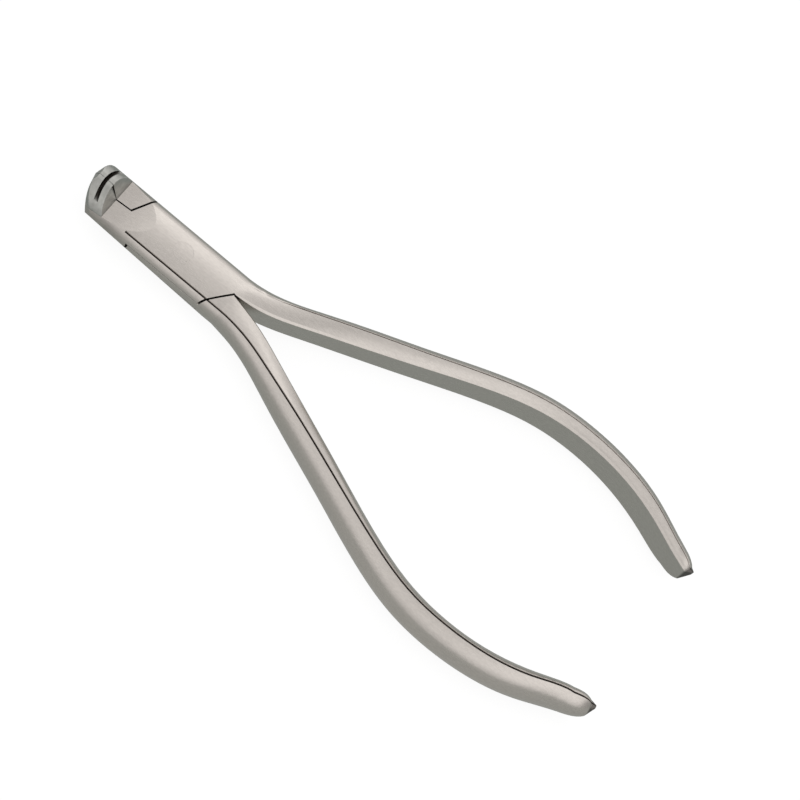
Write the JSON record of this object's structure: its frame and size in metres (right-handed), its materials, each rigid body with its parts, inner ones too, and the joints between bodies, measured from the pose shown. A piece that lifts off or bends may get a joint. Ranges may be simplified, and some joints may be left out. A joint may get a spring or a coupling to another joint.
{
  "type": "orthodontic wire cutter",
  "caption": "Hand-held orthodontic wire cutter: crossed steel halves in a box joint on a pin, with slitted hard tips at the jaws and long bowed handles.",
  "frame": {"origin": "point where the pivot axis meets the flat underside of the box joint", "axes": "+Z along the pivot, up through the box; -X towards the jaws, +X towards the handle ends; +Y towards the handle of the box half"},
  "size_m": [0.1307, 0.0586, 0.009],
  "materials": {
    "satin_steel": "satin, finely brushed stainless steel",
    "pin_steel": "satin stainless steel, ground flush with the box",
    "tip_alloy": "ground hard alloy, slightly darker than the steel"
  },
  "bodies": {
    "box_body": {"box_half": "satin_steel", "pivot_pin": "pin_steel", "box_cutting_tip": "tip_alloy"},
    "tongue_body": {"tongue_half": "satin_steel", "tongue_cutting_tip": "tip_alloy"}
  },
  "joints": [
    {"name": "jaw_pivot", "type": "hinge", "parent": "box_body", "child": "tongue_body", "pos_m": [0, 0, 0.0027], "axis": [0, 0, -1], "range_deg": [0, 30]}
  ]
}
